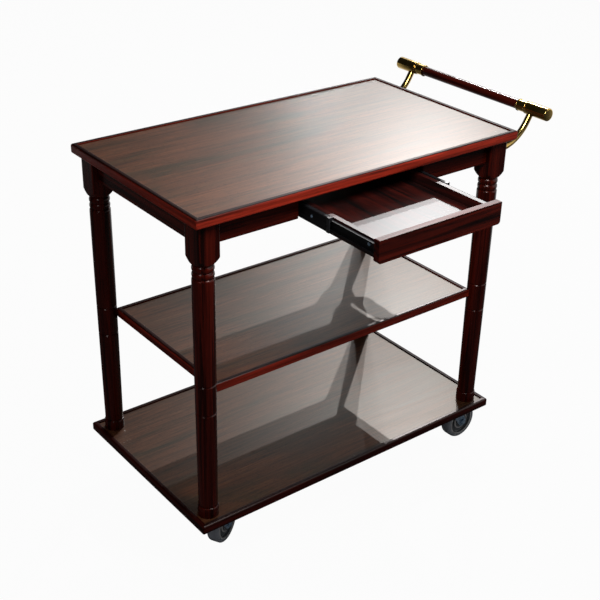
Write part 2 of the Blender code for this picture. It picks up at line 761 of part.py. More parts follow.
def post_mesh():
    curve = bpy.data.curves.new("handle_post", "CURVE")
    curve.dimensions = "3D"
    curve.bevel_depth = POST_RADIUS
    curve.bevel_resolution = POST_RESOLUTION
    curve.use_fill_caps = True
    route = post_points()
    spline = curve.splines.new("POLY")
    spline.points.add(len(route) - 1)
    for point, (x, z) in zip(spline.points, route):
        point.co = (x, 0, z, 1)
    source = bpy.data.objects.new("handle_post", curve)
    CUTTERS.objects.link(source)
    mesh = mesh_from(source, "handle_post")
    shade_round(mesh)
    return mesh


def make_handle(cart):
    make_grip(cart)
    sleeve = turned_mesh("handle_sleeve", sleeve_profile(), HANDLE_SIDES)
    shade_round(sleeve)
    post = post_mesh()
    seat_radius = (SLEEVE_BARREL_RADIUS + FIT) / math.cos(math.pi / HANDLE_SIDES)
    seat = new_cutter(
        "post_seat",
        cylinder_mesh("post_seat", seat_radius, HANDLE_LENGTH, HANDLE_SIDES),
        (HANDLE_X, 0, HANDLE_HEIGHT),
        cart,
    )
    seat.rotation_euler = (math.pi / 2, 0, 0)
    for end, sign in (("front", -1), ("back", 1)):
        location = (HANDLE_X, sign * HANDLE_LENGTH / 2, HANDLE_HEIGHT)
        new_part(f"handle_sleeve_{end}", sleeve, BRASS, cart, location, (-sign * math.pi / 2, 0, 0))
        arm = new_part(f"handle_post_{end}", post, BRASS, cart, (0, sign * POST_Y, 0))
        add_boolean(arm, seat, "DIFFERENCE")


# Casters, each about its swivel axis with the plate's upper face at height 0


def caster_levels():
    """Heights of the race's top, the crown's top and the crown's underside."""
    race = -PLATE_THICKNESS - FIT
    crown = race - RACE_RISE
    return race, crown, crown - CROWN_THICKNESS


def plate_mesh():
    """A plate with rounded corners and the king pin that the fork swivels on."""
    outline = rounded_rectangle(PLATE_WIDTH, PLATE_WIDTH, PLATE_CORNER)
    plate = bpy.data.objects.new("plate", extruded_mesh("plate", outline, PLATE_THICKNESS))
    plate.location = (0, 0, -PLATE_THICKNESS / 2)
    CUTTERS.objects.link(plate)
    underside = caster_levels()[2] - FIT
    head_end = underside - KING_PIN_HEAD_HEIGHT
    profile = [(0, -PLATE_THICKNESS / 2), (KING_PIN_RADIUS, -PLATE_THICKNESS / 2)]
    profile += [(KING_PIN_RADIUS, underside), (KING_PIN_HEAD_RADIUS, underside)]
    profile += [(KING_PIN_HEAD_RADIUS, head_end), (0, head_end)]
    pin = new_cutter("king_pin", turned_mesh("king_pin", profile, PIN_SIDES))
    add_boolean(plate, pin, "UNION")
    mesh = mesh_from(plate, "caster_plate")
    mesh.transform(Matrix.Translation((0, 0, -PLATE_THICKNESS / 2)))
    return mesh


def arm_mesh():
    """One flat cheek, wide at the crown and round about the axle, that trails the swivel axis."""
    top = caster_levels()[2] + CROWN_THICKNESS / 2
    points = [(ARM_WIDTH / 2, top), (-ARM_WIDTH / 2, top)]
    points += arc((CASTER_TRAIL, -AXLE_DROP), ARM_END_RADIUS, 200, 390, ARM_STEPS)
    return extruded_mesh("fork_arm", points, ARM_THICKNESS)


def fork_mesh():
    """A turned crown with a raised race, two cheeks and a hole for the axle."""
    race, crown, underside = caster_levels()
    bore = KING_PIN_RADIUS + FIT
    inner = RACE_RADIUS - RACE_WIDTH / 2
    outer = RACE_RADIUS + RACE_WIDTH / 2
    profile = [(outer, race), (CROWN_RADIUS, crown), (CROWN_RADIUS, underside), (bore, underside)]
    profile += [(bore, crown), (inner - RACE_RISE / 2, crown), (inner, race)]
    fork = bpy.data.objects.new("fork", turned_mesh("fork", profile, CROWN_SIDES, closed=True))
    CUTTERS.objects.link(fork)
    cheek_y = HUB_WIDTH / 2 + FIT + ARM_THICKNESS / 2
    cheek = arm_mesh()
    for sign in (-1, 1):
        arm = new_cutter(f"fork_arm_{sign}", cheek, (0, sign * cheek_y, 0))
        arm.rotation_euler = (math.pi / 2, 0, 0)
        add_boolean(fork, arm, "UNION")
    hole_radius = (AXLE_RADIUS + FIT) / math.cos(math.pi / PIN_SIDES)
    hole = new_cutter(
        "axle_hole",
        cylinder_mesh("axle_hole", hole_radius, 2 * HUB_WIDTH, PIN_SIDES),
        (CASTER_TRAIL, 0, -AXLE_DROP),
    )
    hole.rotation_euler = (math.pi / 2, 0, 0)
    add_boolean(fork, hole, "DIFFERENCE")
    return mesh_from(fork, "caster_fork")


def axle_mesh():
    """A bolt along Z with a hexagon head at one end and a nut at the other."""
    seat = HUB_WIDTH / 2 + ARM_THICKNESS + 2 * FIT
    length = 2 * (seat + AXLE_HEAD_HEIGHT)
    bolt = bpy.data.objects.new("axle", cylinder_mesh("axle", AXLE_RADIUS, length, PIN_SIDES))
    CUTTERS.objects.link(bolt)
    for sign in (-1, 1):
        head = new_cutter(
            f"axle_head_{sign}",
            cylinder_mesh(f"axle_head_{sign}", AXLE_HEAD_RADIUS, AXLE_HEAD_HEIGHT, HEXAGON_SIDES),
            (0, 0, sign * (seat + AXLE_HEAD_HEIGHT / 2)),
        )
        add_boolean(bolt, head, "UNION")
    return mesh_from(bolt, "caster_axle")


def wheel_mesh():
    """Tyre, web and hub in one turned section about Z."""
    bore = AXLE_RADIUS + FIT
    half_tyre = TYRE_WIDTH / 2
    half_hub = HUB_WIDTH / 2
    half_web = WHEEL_WEB / 2
    round_x = WHEEL_RADIUS - TYRE_ROUND
    round_z = half_tyre - TYRE_ROUND
    upper = [(bore, half_hub), (HUB_RADIUS, half_hub), (HUB_RADIUS, half_web)]
    upper += [(TYRE_INNER_RADIUS - half_tyre + half_web, half_web), (TYRE_INNER_RADIUS, half_tyre)]
    upper += arc((round_x, round_z), TYRE_ROUND, 90, 0, COARSE_STEPS)
    lower = [(radius, -height) for radius, height in reversed(upper)]
    mesh = turned_mesh("caster_wheel", upper + lower, WHEEL_SIDES, closed=True)
    shade_round(mesh)
    return mesh


def make_casters(cart):
    plate = plate_mesh()
    fork = fork_mesh()
    axle = axle_mesh()
    wheel = wheel_mesh()
    across = (math.pi / 2, 0, 0)
    for corner, (x_sign, y_sign) in LEG_SIGNS.items():
        place = (x_sign * CASTER_X, y_sign * CASTER_Y, CASTER_HEIGHT)
        new_part(f"caster_plate_{corner}", plate, ZINC_STEEL, cart, place)
        swivel = new_empty(f"caster_swivel_{corner}", place, SWIVEL_ANGLES[corner], cart)
        centre = (CASTER_TRAIL, 0, -AXLE_DROP)
        new_part(f"caster_fork_{corner}", fork, ZINC_STEEL, swivel)
        new_part(f"caster_axle_{corner}", axle, ZINC_STEEL, swivel, centre, across)
        new_part(f"caster_wheel_{corner}", wheel, RUBBER, swivel, centre, across)


def reference_point():
    """Bottom centre of the cart's bounding box, with the drawer drawn out."""
    left = -CART_LENGTH / 2
    right = max(HANDLE_X + SLEEVE_BARREL_RADIUS, CART_LENGTH / 2)
    back = max(HANDLE_LENGTH, CART_WIDTH) / 2
    return (left + right) / 2, (DRAWER_FACE + back) / 2


def main():
    centre_x, centre_y = reference_point()
    cart = new_empty("serving_cart", (-centre_x, -centre_y, 0))
    make_boards(cart)
    make_legs(cart)
    make_aprons(cart)
    make_bearers(cart)
    make_drawer(cart)
    make_handle(cart)
    make_casters(cart)


main()
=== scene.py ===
"""Looks of the serving cart: legs, mouldings, push bar, slide trim and casters, with their finishes.

Metres, +Z up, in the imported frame: the floor is Z = 0, the push bar is at +X and the drawer opens
towards -Y.
"""

import json
import math

import bmesh
import bpy
from mathutils import Matrix, Vector


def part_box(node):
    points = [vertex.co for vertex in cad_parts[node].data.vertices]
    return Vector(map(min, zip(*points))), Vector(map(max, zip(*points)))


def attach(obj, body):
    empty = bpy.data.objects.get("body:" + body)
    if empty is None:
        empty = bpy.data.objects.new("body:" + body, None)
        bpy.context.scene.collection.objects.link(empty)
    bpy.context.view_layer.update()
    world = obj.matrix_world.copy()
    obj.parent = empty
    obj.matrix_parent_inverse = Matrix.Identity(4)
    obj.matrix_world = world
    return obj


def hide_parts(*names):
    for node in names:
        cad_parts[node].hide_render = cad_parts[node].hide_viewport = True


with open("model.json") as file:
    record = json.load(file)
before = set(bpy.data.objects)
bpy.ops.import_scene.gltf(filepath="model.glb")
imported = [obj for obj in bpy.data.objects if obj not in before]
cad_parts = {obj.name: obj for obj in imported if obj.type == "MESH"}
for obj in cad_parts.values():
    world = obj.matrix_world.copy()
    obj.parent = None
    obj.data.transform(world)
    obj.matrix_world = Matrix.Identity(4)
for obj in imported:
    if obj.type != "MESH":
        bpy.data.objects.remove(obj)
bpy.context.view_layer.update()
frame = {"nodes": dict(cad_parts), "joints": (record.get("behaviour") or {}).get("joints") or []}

# Camera
CAMERA_PLACE = (-1.39397, -1.62887, 1.5801)
CAMERA_RIGHT = (0.7927, -0.6093, 0.0202)
CAMERA_UP = (0.2735, 0.3851, 0.8815)
CAMERA_LENS = 67.9
CAMERA_SENSOR = 36.0

# Light: two ceiling lamps and a low one behind the cart on the right, a softbox near its front
# edge, a weak lamp on its left, and a pale room. Each lamp has its place and its power in watts.
BACK_LAMPS = {
    "ceiling_lamp_near": ((2.39, 1.99, 2.85), 70.0),
    "ceiling_lamp_far": ((2.61, 2.58, 2.85), 26.0),
    "low_lamp_right": ((2.25, 2.90, 1.60), 4.6),
}
BACK_LAMP_SIZE = 0.03
BACK_LAMP_TARGET = (0.05, 0.10, 0.45)
SOFTBOX_PLACE = (-0.15, -0.51, 1.35)
SOFTBOX_TARGET = (-0.05, -0.13, 0.77)
SOFTBOX_SIZE = 0.3
SOFTBOX_POWER = 6.6
SIDE_LAMP_PLACE = (-1.35, -0.55, 1.55)
SIDE_LAMP_TARGET = (-0.30, 0.10, 0.60)
SIDE_LAMP_SIZE = 0.25
SIDE_LAMP_POWER = 2.0
WHITE = (1, 1, 1, 1)
AMBIENT_STRENGTH = 0.15
BRIGHT_SIDE = (0.90, -0.35, 0.25)
BRIGHT_START = 0.55
BRIGHT_FULL = 0.88
WALL_SIDE = (0.82, 0.38, 0.42)
WALL_START = 0.84
WALL_FULL = 0.91
ROOM_SHADE = 0.012
FLOOR_SIZE = 14.0
FLOOR_COLOUR = (0.35, 0.35, 0.35)
FLOOR_WHITENING = 0.965
FLOOR_BRIGHT_SIDE = (0.70, 0.70, 0.0)
FLOOR_BRIGHT_START = 0.4
FLOOR_BRIGHT_FULL = 1.6
FLOOR_SHADE = 0.03

# Shape details that the frame doesn't hold
LEG_BLOCK_HEIGHT = 0.0675
LEG_ARRIS = 0.003
POMMEL_HEIGHT = 0.019
POMMEL_CURVE = 1.4
BEAD_HEIGHT = 0.0131
BEAD_RADIUS = 0.0214
BEAD_COUNT = 2
BEAD_FULLNESS = 0.75
NECK_RADIUS = 0.0188
COLUMN_TOP_RADIUS = 0.0217
COLUMN_FOOT_RADIUS = 0.0196
COLUMN_ROUND = 0.0045
SCRIBE_ABOVE_SHELF = 0.013
SCRIBE_BELOW_SHELF = 0.0317
SCRIBE_WIDTH = 0.004
SCRIBE_DEPTH = 0.0016
FOOT_RADIUS = 0.0213
FOOT_HEIGHT = 0.0235
FOOT_ROUND = 0.003
FOOT_GROOVE_RADIUS = 0.0182
EDGE_WIDTH = 0.0105
EDGE_TOP_RADIUS = 0.0045
EDGE_FOOT_RADIUS = 0.0045
EDGE_LIP_RADIUS = 0.0012
EDGE_CORNER = 0.004
GRIP_RADIUS = 0.0105
SLEEVE_BARREL_LENGTH = 0.058
SLEEVE_BARREL_RADIUS = 0.0140
SLEEVE_COLLAR_RADIUS = 0.0120
SLEEVE_GROOVE_WIDTH = 0.0012
SLEEVE_BEAD_WIDTH = 0.0032
SLEEVE_RING_WIDTH = 0.0024
SLEEVE_ROUND = 0.0025
POST_RADIUS = 0.0072
POST_RUN = 0.003
POST_ANGLE = math.radians(60)
SLIDE_WEB = 0.0012
SLIDE_SCREW_RADIUS = 0.0034
SLIDE_SCREW_HEIGHT = 0.0015
SLIDE_SCREW_SETBACKS = (0.022, 0.170, 0.310)
SLIDE_RIVET_RADIUS = 0.0032
SLIDE_RIVET_HEIGHT = 0.0007
SLIDE_RIVET_SETBACKS = (0.051, 0.175, 0.310)
BUMPER_PROUD = 0.0004
BUMPER_RISE = 0.00012
BUMPER_REACH = 0.0012
BUMPER_LENGTH = 0.007
BUMPER_GAP = 0.0005
WHEEL_RADIUS = 0.0435
TYRE_HALF = 0.014
TYRE_ROUND = 0.006
TYRE_HOLLOW = 0.0012
RIM_RADIUS = 0.0335
RIM_LIP = 0.0016
RIM_SINK = 0.0022
HUB_RADIUS = 0.0165
HUB_HALF = 0.0145
HUB_ROUND = 0.001
WEB_HALF = 0.006
WEB_ROUND = 0.002
AXLE_RADIUS = 0.004
FIT = 0.0003

# Rings on a wheel's faces: each one's radius, and its height from the wheel's middle
OUTER_RING = (0.0335, 0.0126)
INNER_RING = (0.0186, 0.0105)
RING_HALF = 0.0017

# Finish details. A moulding's faces that look up more than LIP_FACING get the lip's darker copy of
# the wood, a painted shade.
WOOD_ROUGHNESS_SPREAD = 0.08
RUBBER_ROUGHNESS_SPREAD = 0.14
STREAK_RELIEF = 0.3
LIP_FACING = 0.75

# How finely shapes are made
WELD = 1e-6
TINY = 1e-7
SMOOTH_ANGLE = math.radians(32)
ROUND_SIDES = 64
SCREW_SIDES = 20
ARC_STEPS = 6
CORNER_STEPS = 4
POMMEL_STEPS = 18
BEAD_STEPS = 10
COLUMN_STEPS = 24
POST_STEPS = 28
LEG_FLAT_ANGLES = (0, 7, 14, 21, 28, 35)
BUTTON_TURNS = [math.radians(angle) for angle in (0, 20, 40, 60, 80, 90)]

CORNERS = ("front_left", "front_right", "back_left", "back_right")
BOARDS = ("top", "mid_shelf", "bottom_shelf")
EDGE_TURNS = {"right": 0.0, "back": math.pi / 2, "left": math.pi, "front": -math.pi / 2}
EDGE_AXES = {"right": "Y", "back": "X", "left": "Y", "front": "X"}

# Painted light and shade: each side's mouldings get their own paler or darker copy of the same wood,
# palest at the front and darkest at the right, for how the light falls on that side
EDGE_PAINTED_LIGHT = {"right": 1.4, "back": 1.6, "left": 3.0, "front": 4.6}


# Camera, light and floor


def add_to_scene(name, data):
    made = bpy.data.objects.new(name, data)
    bpy.context.scene.collection.objects.link(made)
    return made


def make_camera():
    data = bpy.data.cameras.new("camera")
    data.lens = CAMERA_LENS
    data.sensor_width = CAMERA_SENSOR
    camera = add_to_scene("camera", data)
    right = Vector(CAMERA_RIGHT).normalized()
    back = right.cross(Vector(CAMERA_UP)).normalized()
    turn = Matrix((right, back.cross(right), back)).transposed()
    camera.matrix_world = Matrix.Translation(CAMERA_PLACE) @ turn.to_4x4()
    bpy.context.scene.camera = camera
    bpy.context.scene.view_settings.view_transform = "Standard"


def make_lamp(name, place, target, size, power):
    """A square lamp that faces a target."""
    data = bpy.data.lights.new(name, "AREA")
    data.size = size
    data.energy = power
    lamp = add_to_scene(name, data)
    lamp.location = place
    lamp.rotation_euler = (Vector(target) - Vector(place)).to_track_quat("-Z", "Y").to_euler()
    lamp.visible_camera = False


def make_lamps():
    """The lamps behind the cart, the softbox in front of it and the weak one on its left."""
    for name, (place, power) in BACK_LAMPS.items():
        make_lamp(name, place, BACK_LAMP_TARGET, BACK_LAMP_SIZE, power)
    make_lamp("softbox", SOFTBOX_PLACE, SOFTBOX_TARGET, SOFTBOX_SIZE, SOFTBOX_POWER)
    make_lamp("side_lamp", SIDE_LAMP_PLACE, SIDE_LAMP_TARGET, SIDE_LAMP_SIZE, SIDE_LAMP_POWER)


def link_all(tree, *pairs):
    for source, target in pairs:
        tree.links.new(source, target)


def seen_directly(tree):
    """1 for rays from the camera, from a shiny surface or through glass, otherwise 0."""
    path = tree.nodes.new("ShaderNodeLightPath")
    total = path.outputs["Is Camera Ray"]
    for name in ("Is Glossy Ray", "Is Transmission Ray"):
        either = tree.nodes.new("ShaderNodeMath")
        either.operation = "MAXIMUM"
        link_all(tree, (total, either.inputs[0]), (path.outputs[name], either.inputs[1]))
        total = either.outputs["Value"]
    return total


def backdrop_level(tree, position, side, start, full, shade):
    """White to the camera. In reflections it fades to shade away from one side of the room."""
    facing = tree.nodes.new("ShaderNodeVectorMath")
    facing.operation = "DOT_PRODUCT"
    facing.inputs[1].default_value = side
    fade = tree.nodes.new("ShaderNodeMapRange")
    fade.interpolation_type = "SMOOTHSTEP"
    fade.inputs["From Min"].default_value = start
    fade.inputs["From Max"].default_value = full
    fade.inputs["To Min"].default_value = shade
    path = tree.nodes.new("ShaderNodeLightPath")
    level = tree.nodes.new("ShaderNodeMath")
    level.operation = "MAXIMUM"
    link_all(
        tree,
        (position, facing.inputs[0]),
        (facing.outputs["Value"], fade.inputs["Value"]),
        (fade.outputs["Result"], level.inputs[0]),
        (path.outputs["Is Camera Ray"], level.inputs[1]),
    )
    return level.outputs["Value"]


def make_world():
    """A pale room that is seen as white, and gives the object a plain grey light."""
    world = bpy.data.worlds.new("room")
    bpy.context.scene.world = world
    world.use_nodes = True
    tree = world.node_tree
    ambient = tree.nodes["Background"]
    ambient.inputs["Color"].default_value = WHITE
    ambient.inputs["Strength"].default_value = AMBIENT_STRENGTH
    direction = tree.nodes.new("ShaderNodeTexCoord").outputs["Generated"]
    backdrop = tree.nodes.new("ShaderNodeBackground")
    backdrop.inputs["Color"].default_value = WHITE
    level = tree.nodes.new("ShaderNodeMath")
    level.operation = "MAXIMUM"
    side = backdrop_level(tree, direction, BRIGHT_SIDE, BRIGHT_START, BRIGHT_FULL, ROOM_SHADE)
    wall = backdrop_level(tree, direction, WALL_SIDE, WALL_START, WALL_FULL, ROOM_SHADE)
    mix = tree.nodes.new("ShaderNodeMixShader")
    link_all(
        tree,
        (side, level.inputs[0]),
        (wall, level.inputs[1]),
        (level.outputs["Value"], backdrop.inputs["Strength"]),
        (seen_directly(tree), mix.inputs["Fac"]),
        (ambient.outputs["Background"], mix.inputs[1]),
        (backdrop.outputs["Background"], mix.inputs[2]),
        (mix.outputs["Shader"], tree.nodes["World Output"].inputs["Surface"]),
    )


def floor_material():
    """Matte grey under the lamps, and whitened where it is seen, so that its shadow stays faint."""
    material = bpy.data.materials.new("floor")
    material.use_nodes = True
    tree = material.node_tree
    tree.nodes.remove(tree.nodes["Principled BSDF"])
    matte = tree.nodes.new("ShaderNodeBsdfDiffuse")
    matte.inputs["Color"].default_value = (*FLOOR_COLOUR, 1)
    white = tree.nodes.new("ShaderNodeEmission")
    position = tree.nodes.new("ShaderNodeNewGeometry").outputs["Position"]
    level = backdrop_level(
        tree, position, FLOOR_BRIGHT_SIDE, FLOOR_BRIGHT_START, FLOOR_BRIGHT_FULL, FLOOR_SHADE
    )
    share = tree.nodes.new("ShaderNodeMath")
    share.operation = "MULTIPLY"
    share.inputs[1].default_value = FLOOR_WHITENING
    mix = tree.nodes.new("ShaderNodeMixShader")
    link_all(
        tree,
        (level, white.inputs["Strength"]),
        (seen_directly(tree), share.inputs[0]),
        (share.outputs["Value"], mix.inputs["Fac"]),
        (matte.outputs["BSDF"], mix.inputs[1]),
        (white.outputs["Emission"], mix.inputs[2]),
        (mix.outputs["Shader"], tree.nodes["Material Output"].inputs["Surface"]),
    )
    return material


def make_floor():
    half = FLOOR_SIZE / 2
    corners = [(-half, -half, 0), (half, -half, 0), (half, half, 0), (-half, half, 0)]
    mesh = bpy.data.meshes.new("floor")
    mesh.from_pydata(corners, [], [(0, 1, 2, 3)])
    mesh.materials.append(floor_material())
    add_to_scene("floor", mesh)


# Materials


class Recipe:
    """One procedural material, built node by node."""

    def __init__(self, name):
        self.material = bpy.data.materials.new(name)
        self.material.use_nodes = True
        self.tree = self.material.node_tree
        self.shader = self.tree.nodes["Principled BSDF"]

    def node(self, kind, inputs, **settings):
        """A node whose inputs are numbers or other nodes' outputs."""
        made = self.tree.nodes.new(kind)
        for key, value in settings.items():
            setattr(made, key, value)
        for key, value in inputs.items():
            self.feed(made.inputs[key], value)
        return made

    def feed(self, socket, value):
        if isinstance(value, bpy.types.NodeSocket):
            self.tree.links.new(value, socket)
        else:
            socket.default_value = value

    def place(self, stretch):
        """Object coordinates in metres, scaled along each axis."""
        coordinates = self.node("ShaderNodeTexCoord", {}).outputs["Object"]
        mapping = self.node("ShaderNodeMapping", {"Vector": coordinates, "Scale": stretch})
        return mapping.outputs["Vector"]

    def noise(self, stretch, detail=3.0, roughness=0.5, distortion=0.0):
        inputs = {"Vector": self.place(stretch), "Scale": 1.0, "Detail": detail}
        inputs.update({"Roughness": roughness, "Distortion": distortion})
        return self.node("ShaderNodeTexNoise", inputs).outputs["Fac"]

    def ramp(self, factor, *stops):
        """A colour ramp through (position, colour) stops."""
        made = self.node("ShaderNodeValToRGB", {"Fac": factor})
        elements = made.color_ramp.elements
        while len(elements) < len(stops):
            elements.new(1.0)
        for element, (position, colour) in zip(elements, stops):
            element.position = position
            element.color = (*colour, 1)
        return made.outputs["Color"]

    def remap(self, value, low, high, to_low, to_high):
        """A number that runs from to_low to to_high as the value runs from low to high."""
        inputs = {"Value": value, "From Min": low, "From Max": high}
        inputs.update({"To Min": to_low, "To Max": to_high})
        return self.node("ShaderNodeMapRange", inputs).outputs["Result"]

    def scaled(self, colour, factor):
        """A colour times a number that varies over the surface."""
        made = self.node("ShaderNodeVectorMath", {0: colour}, operation="SCALE")
        self.feed(made.inputs["Scale"], factor)
        return made.outputs["Vector"]

    def combine(self, operation, first, second):
        made = self.node("ShaderNodeMath", {0: first, 1: second}, operation=operation)
        return made.outputs["Value"]

    def bump(self, height, strength, distance):
        inputs = {"Height": height, "Strength": strength, "Distance": distance}
        return self.node("ShaderNodeBump", inputs).outputs["Normal"]

    def finish(self, **inputs):
        """Sets the shader's inputs, named with _ for each space, and gives the material."""
        for key, value in inputs.items():
            self.feed(self.shader.inputs[key.replace("_", " ")], value)
        return self.material


def along(axis, lengthwise, across):
    """A stretch with one rate along an axis and another across it."""
    return tuple(lengthwise if name == axis else across for name in "XYZ")


def evenly(rate):
    """The same stretch along every axis."""
    return (rate, rate, rate)


def mahogany(axis, name, paleness, vein_depth, roughness, reflectance):
    """Dark red lacquered wood with bands, streaks, veins and pores along one axis."""
    recipe = Recipe(f"{name}_{axis}")
    bands = recipe.noise(
        along(axis, lengthwise=1.6, across=44.0), detail=5.0, roughness=0.58, distortion=0.8
    )
    streaks = recipe.noise(along(axis, lengthwise=6.0, across=230.0), detail=4.0, roughness=0.6)
    pores = recipe.noise(along(axis, lengthwise=40.0, across=900.0), detail=2.0)
    veins = recipe.noise(
        along(axis, lengthwise=3.0, across=120.0), detail=5.0, roughness=0.62, distortion=0.7
    )
    red = recipe.ramp(
        bands,
        (0.34, (0.010, 0.0012, 0.0008)),
        (0.46, (0.052, 0.0042, 0.0020)),
        (0.60, (0.084, 0.0066, 0.0030)),
        (0.74, (0.118, 0.0100, 0.0044)),
    )
    streak_tone = recipe.remap(
        streaks, low=0.30, high=0.70, to_low=0.62 * paleness, to_high=1.22 * paleness
    )
    vein_tone = recipe.remap(veins, low=0.40, high=0.50, to_low=1.0 - vein_depth, to_high=1.0)
    pore_tone = recipe.remap(pores, low=0.58, high=0.72, to_low=1.0, to_high=0.55)
    for tone in (streak_tone, vein_tone, pore_tone):
        red = recipe.scaled(red, tone)
    dullest = roughness + WOOD_ROUGHNESS_SPREAD
    relief = recipe.combine("SUBTRACT", recipe.combine("MULTIPLY", streaks, STREAK_RELIEF), pores)
    return recipe.finish(
        Base_Color=red,
        Roughness=recipe.remap(streaks, low=0.25, high=0.75, to_low=roughness, to_high=dullest),
        Specular_IOR_Level=reflectance,
        Specular_Tint=(1.0, 0.85, 0.82, 1.0),
        Normal=recipe.bump(relief, strength=0.03, distance=0.0003),
    )


def laminate():
    """Brown figured board under a clear sheen, with its grain along the cart."""
    recipe = Recipe("laminate_walnut")
    figure = recipe.noise(
        along("X", lengthwise=1.4, across=8.0), detail=5.0, roughness=0.55, distortion=2.2
    )
    streaks = recipe.noise(
        along("X", lengthwise=3.4, across=90.0), detail=7.0, roughness=0.70, distortion=1.1
    )
    fine = recipe.noise(
        along("X", lengthwise=14.0, across=330.0), detail=4.0, roughness=0.65, distortion=0.8
    )
    ticks = recipe.noise(along("X", lengthwise=150.0, across=520.0), detail=2.0)
    brown = recipe.ramp(
        figure,
        (0.36, (0.052, 0.0270, 0.0120)),
        (0.46, (0.082, 0.0300, 0.0120)),
        (0.56, (0.112, 0.0350, 0.0130)),
        (0.70, (0.100, 0.0400, 0.0165)),
    )
    streak_tone = recipe.remap(streaks, low=0.36, high=0.60, to_low=0.50, to_high=1.20)
    fine_tone = recipe.remap(fine, low=0.32, high=0.68, to_low=0.64, to_high=1.28)
    tick_tone = recipe.remap(ticks, low=0.56, high=0.68, to_low=1.0, to_high=0.52)
    for tone in (streak_tone, fine_tone, tick_tone):
        brown = recipe.scaled(brown, tone)
    return recipe.finish(
        Base_Color=brown,
        Roughness=recipe.remap(figure, low=0.25, high=0.75, to_low=0.37, to_high=0.41),
        Specular_IOR_Level=0.42,
        Specular_Tint=(1.0, 0.93, 0.82, 1.0),
        Normal=recipe.bump(ticks, strength=0.05, distance=0.0003),
    )


def drawer_wood(axis):
    """The drawer's inner boards: red wood with dark flame figure under the same lacquer."""
    recipe = Recipe(f"drawer_wood_{axis}")
    flames = recipe.noise(
        along(axis, lengthwise=3.2, across=46.0), detail=6.0, roughness=0.62, distortion=1.4
    )
    streaks = recipe.noise(along(axis, lengthwise=7.0, across=170.0), detail=4.0, roughness=0.6)
    red = recipe.ramp(
        flames,
        (0.38, (0.002, 0.0004, 0.0003)),
        (0.46, (0.015, 0.0013, 0.0009)),
        (0.56, (0.034, 0.0028, 0.0015)),
        (0.70, (0.060, 0.0050, 0.0024)),
    )
    tone = recipe.remap(streaks, low=0.32, high=0.68, to_low=0.45, to_high=1.30)
    return recipe.finish(
        Base_Color=recipe.scaled(red, tone),
        Roughness=0.42,
        Specular_IOR_Level=0.5,
        Normal=recipe.bump(streaks, strength=0.02, distance=0.0003),
    )


def brass():
    """Polished brass with faint turning lines and a touch of tarnish."""
    recipe = Recipe("polished_brass")
    tarnish = recipe.noise(evenly(22.0), detail=5.0, roughness=0.6)
    lines = recipe.noise(along("Y", lengthwise=2400.0, across=60.0), detail=2.0)
    gold = recipe.ramp(
        tarnish,
        (0.30, (0.42, 0.265, 0.060)),
        (0.55, (0.62, 0.420, 0.125)),
        (0.80, (0.72, 0.510, 0.180)),
    )
    return recipe.finish(
        Base_Color=gold,
        Metallic=1.0,
        Roughness=recipe.remap(tarnish, low=0.3, high=0.7, to_low=0.13, to_high=0.22),
        Normal=recipe.bump(lines, strength=0.03, distance=0.0002),
    )


def black_steel():
    """Slide steel under a thin black finish, worn paler along the run."""
    recipe = Recipe("black_steel")
    wear = recipe.noise((90.0, 5.0, 260.0), detail=4.0, roughness=0.6)
    dust = recipe.noise(evenly(420.0), detail=2.0)
    colour = recipe.ramp(
        wear,
        (0.35, (0.006, 0.006, 0.007)),
        (0.60, (0.012, 0.012, 0.014)),
        (0.85, (0.040, 0.040, 0.044)),
    )
    return recipe.finish(
        Base_Color=colour,
        Roughness=recipe.remap(dust, low=0.3, high=0.7, to_low=0.46, to_high=0.58),
        Specular_IOR_Level=0.16,
        Normal=recipe.bump(dust, strength=0.04, distance=0.0002),
    )


def zinc_steel():
    """Bright zinc plate with a bluish passivated bloom."""
    recipe = Recipe("zinc_steel")
    bloom = recipe.noise(evenly(55.0), detail=4.0, roughness=0.6, distortion=0.5)
    grain = recipe.noise(along("Z", lengthwise=300.0, across=1500.0), detail=2.0)
    colour = recipe.ramp(
        bloom,
        (0.30, (0.26, 0.40, 0.56)),
        (0.55, (0.40, 0.53, 0.68)),
        (0.80, (0.58, 0.64, 0.70)),
    )
    return recipe.finish(
        Base_Color=colour,
        Metallic=0.55,
        Roughness=recipe.remap(bloom, low=0.3, high=0.7, to_low=0.22, to_high=0.36),
        Normal=recipe.bump(grain, strength=0.06, distance=0.0002),
    )


def rubber(name, dark, pale, roughness):
    """Moulded wheel or cap material with fine grain and scuffs."""
    recipe = Recipe(name)
    scuffs = recipe.noise(evenly(70.0), detail=6.0, roughness=0.65)
    grain = recipe.noise(evenly(900.0), detail=2.0)
    dullest = roughness + RUBBER_ROUGHNESS_SPREAD
    return recipe.finish(
        Base_Color=recipe.ramp(scuffs, (0.35, dark), (0.75, pale)),
        Roughness=recipe.remap(scuffs, low=0.3, high=0.7, to_low=roughness, to_high=dullest),
        Normal=recipe.bump(grain, strength=0.12, distance=0.0002),
    )


def along_both(name, **look):
    """One mahogany for boards along X and one for boards along Y."""
    return {axis: mahogany(axis, name, **look) for axis in "XY"}


def painted_light_edge_wood(side):
    """The mahogany of one side's mouldings, with its own paleness: painted light and shade for that
    side.
    """
    look = {"vein_depth": 0.30, "roughness": 0.38, "reflectance": 0.10}
    return mahogany(EDGE_AXES[side], f"edge_mahogany_{side}", EDGE_PAINTED_LIGHT[side], **look)


MAIN_LOOK = {"paleness": 0.90, "vein_depth": 0.66, "roughness": 0.17, "reflectance": 0.30}
# Painted shade: the lips' darker copy of the mahogany
LIP_PAINTED_SHADE_LOOK = {"paleness": 0.30, "vein_depth": 0.30}

